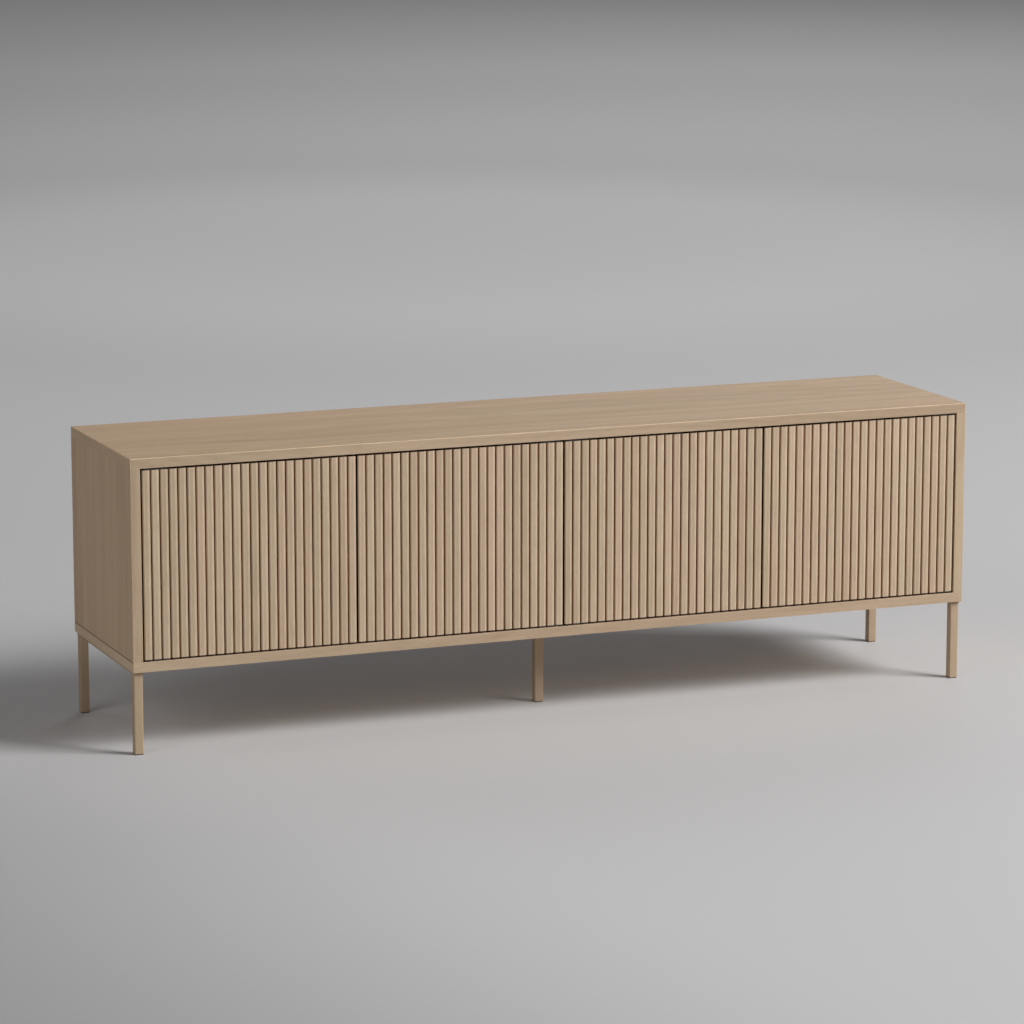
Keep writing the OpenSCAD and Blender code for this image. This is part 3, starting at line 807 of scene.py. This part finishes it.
# %% Make the legs
TUBE_WALL = 1.5 * MM
TUBE_ROUND = 2.0 * MM
TUBE_STEPS = 4
for node in ("front_left_leg", "front_right_leg", "back_left_leg", "back_right_leg", "middle_leg"):
    low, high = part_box(node)
    bm = bmesh.new()
    bm.faces.layers.float.new("eased")
    add_block(bm, low, high)
    ease(bm, corner_edges(bm, low, high, *CORNERS), TUBE_ROUND, TUBE_STEPS)
    ends = [face for face in bm.faces if abs(face.normal.z) > 0.9]
    bmesh.ops.delete(bm, geom=ends, context="FACES_ONLY")
    bmesh.ops.solidify(bm, geom=list(bm.faces), thickness=TUBE_WALL)
    finish_mesh(bm, f"{node}_tube", "cabinet", "leg_paint", (leg_paint,), node)

# %% [markdown]
# ## Leg bars, plate and glides
# The flat bars and the plate that the legs are welded to have countersunk holes for the screws
# into the bottom panel. Shaping them anew would risk moving a hole, so they are eased copies of
# the CAD nodes, and so are the plastic glides. Only edges that point outwards are eased.

# %% Ease the leg bars, the plate and the glides
METAL_EASE = 0.4
def eased_copy(node, name, body, slot, material, width, bend=30):
    """A copy of a node with every outward edge sharper than bend degrees eased."""
    bm = welded_copy(node)
    sharp = [
        edge for edge in bm.edges
        if len(edge.link_faces) == 2 and edge.calc_face_angle_signed() > math.radians(bend)
    ]
    ease(bm, sharp, width * MM)
    finish_mesh(bm, name, body, slot, (material,), node)


for node in ("left_leg_bar", "right_leg_bar", "middle_leg_plate"):
    eased_copy(node, f"{node}_painted", "cabinet", "leg_paint", leg_paint, METAL_EASE)
eased_copy("leg_glides", "leg_glide_caps", "cabinet", "glide_plastic", glide_plastic, METAL_EASE)

# %% [markdown]
# ## Cable grommets
# A grommet is turned, so a spin makes it. Its half section is drawn once: a sleeve that fills
# the hole and a flange with a rounded lip inside the bay. The bore is the one that the design
# states, so a lead and its plug still pass.

# %% Make the grommets
RING_STEPS = 72
GROMMET_LIP = 0.6 * MM
GROMMET_FLANGE = 2 * MM
FLANGE_OVERHANG = 4.1 * MM


def spun_ring(bm, section, centre):
    """Spins a section of (radius, distance along Y) points round an axis along Y."""
    points = [bm.verts.new(centre + Vector((radius, along, 0))) for radius, along in section]
    edges = [bm.edges.new((points[i - 1], points[i])) for i in range(len(points))]
    bmesh.ops.spin(
        bm, geom=points + edges, cent=centre, axis=(0, 1, 0), dvec=(0, 0, 0),
        angle=2 * math.pi, steps=RING_STEPS, use_merge=True,
    )


bore_radius = next(
    mount["dims"]["r_mm"] for mount in frame["record"]["mounts"] if mount["name"] == "left_cable_outlet"
) * MM
bm = bmesh.new()
bm.faces.layers.float.new("eased")
for low, high in solid_boxes("cable_grommets"):
    centre = Vector(((low.x + high.x) / 2, low.y, (low.z + high.z) / 2))
    outer, depth = (high.x - low.x) / 2, high.y - low.y
    lip, flange, sleeve = GROMMET_LIP, GROMMET_FLANGE, outer - FLANGE_OVERHANG
    spun_ring(bm, [
        (bore_radius, lip), (bore_radius + lip, 0), (outer - 2 * lip, 0),
        (outer - lip / 3, lip / 2), (outer, lip * 2), (outer, flange),
        (sleeve, flange), (sleeve, depth - lip), (sleeve - lip, depth),
        (bore_radius + lip, depth), (bore_radius, depth - lip),
    ], centre)
bmesh.ops.remove_doubles(bm, verts=bm.verts, dist=WELD)
bmesh.ops.recalc_face_normals(bm, faces=bm.faces)
finish_mesh(bm, "cable_grommet_rings", "cabinet", "black_plastic", (black_plastic,), "cable_grommets")

# %% [markdown]
# ## Latches and hinge plates
# The push latches and the steel plates have bores that screws and plungers use, so they are
# eased copies too: a moulded box with soft edges, and stamped plates with a slight roll.

# %% Ease the latch housings and the plates
MOULDED_EASE = 0.6
STAMPED_EASE = 0.25
eased_copy("latch_housings", "latch_boxes", "cabinet", "latch_plastic", pale_plastic, MOULDED_EASE)
for number in DOORS:
    body = f"door_{number}"
    for node, name in (("pivot_plates", "pivots"), ("strike_plate", "strike")):
        eased_copy(f"{body}_{node}", f"{body}_{name}", body, "black_steel", black_paint, STAMPED_EASE)

# %% [markdown]
# ## Finishes for the small fittings
# Screws, cam locks, pins, bushings, springs and plungers are already the right shape. They stay
# the CAD's own meshes and only take a finish.

# %% Finish the fittings
FITTINGS = {
    "shelf_pins": nickel, "cam_locks": cast_zinc, "cam_bolts": zinc_plate, "dowels": beech,
    "leg_screws": zinc_plate, "latch_screws": zinc_plate, "pivot_bushings": nylon,
    "latch_springs": spring_wire,
}
for number in DOORS:
    FITTINGS[f"door_{number}_screws"] = zinc_plate
    FITTINGS[f"plunger_{number}"] = dark_plastic
    FITTINGS[f"plunger_magnet_{number}"] = nickel
for node, material in FITTINGS.items():
    mesh = frame["nodes"][node].data
    mesh.materials.clear()
    mesh.materials.append(material)
print(len(FITTINGS), "fittings finished")

# %% [markdown]
# ## The floor
# The cabinet stands on a wide seamless floor. Its colour has light and shade painted in: a painted
# pool of light, palest where the backdrop lamp pools, painted shade, greyer away from it and towards
# the near left corner, where the light falls off, and a painted glow far away, where it meets the pale
# room.

# %% Lay the floor
# The centre of the pool of light painted into the floor colour; the tones and the shade towards the near
# corner paint its falloff.
PAINTED_LIGHT_CENTRE = Vector((2.5, 7, 0))
TO_NEAR_CORNER = Vector((-0.97, -0.24, 0))
PAINTED_POOL_TONES = ((1.5, 0.88), (3.4, 0.75), (8.0, 0.60), (11.0, 0.55))
FLOOR_REACH = 12
FLOOR_RADIUS = 90
SHADE_FROM, SHADE_TO, SHADE = 0.7, 2.3, 0.6
# The far floor gets a glow painted on through its emission.
PAINTED_GLOW_FROM, PAINTED_GLOW_TO, PAINTED_GLOW = 6.0, 70.0, 0.4


def floor_finish():
    material, tree, shader, place = start_material("studio floor", (0.6, 0.6, 0.6))
    inputs = {0: place, 1: PAINTED_LIGHT_CENTRE}
    far = put(tree, "ShaderNodeVectorMath", inputs, operation="DISTANCE").outputs["Value"]
    ramp = put(tree, "ShaderNodeValToRGB", {"Fac": math_node(tree, "DIVIDE", far, FLOOR_REACH)})
    ramp.color_ramp.interpolation = "EASE"
    stops = ramp.color_ramp.elements
    while len(stops) < len(PAINTED_POOL_TONES):
        stops.new(1.0)
    for stop, (metres, tone) in zip(stops, PAINTED_POOL_TONES):
        stop.position = metres / FLOOR_REACH
        stop.color = (tone, tone * 0.992, tone, 1)
    inputs = {0: place, 1: TO_NEAR_CORNER}
    near = put(tree, "ShaderNodeVectorMath", inputs, operation="DOT_PRODUCT").outputs["Value"]
    shade = put(tree, "ShaderNodeMapRange", {
        "Value": near, "From Min": SHADE_FROM, "From Max": SHADE_TO, "To Min": 1.0, "To Max": SHADE,
    }, interpolation_type="SMOOTHSTEP").outputs[0]
    inputs = {0: ramp.outputs["Color"], "Scale": shade}
    colour = put(tree, "ShaderNodeVectorMath", inputs, operation="SCALE")
    tree.links.new(colour.outputs[0], shader.inputs["Base Color"])
    distance = put(tree, "ShaderNodeVectorMath", {0: place}, operation="LENGTH").outputs["Value"]
    # Emission paints a faint glow on the floor far away.
    painted_glow = put(tree, "ShaderNodeMapRange", {
        "Value": distance, "From Min": PAINTED_GLOW_FROM, "From Max": PAINTED_GLOW_TO, "To Max": PAINTED_GLOW,
    }, interpolation_type="SMOOTHSTEP").outputs[0]
    tree.links.new(painted_glow, shader.inputs["Emission Color"])
    shader.inputs["Emission Strength"].default_value = 1.0
    shader.inputs["Roughness"].default_value = 0.85
    return material


bm = bmesh.new()
bmesh.ops.create_circle(bm, cap_ends=True, segments=96, radius=FLOOR_RADIUS)
floor_mesh = bpy.data.meshes.new("floor")
bm.to_mesh(floor_mesh)
bm.free()
floor_mesh.materials.append(floor_finish())
floor = bpy.data.objects.new("floor", floor_mesh)
bpy.context.scene.collection.objects.link(floor)
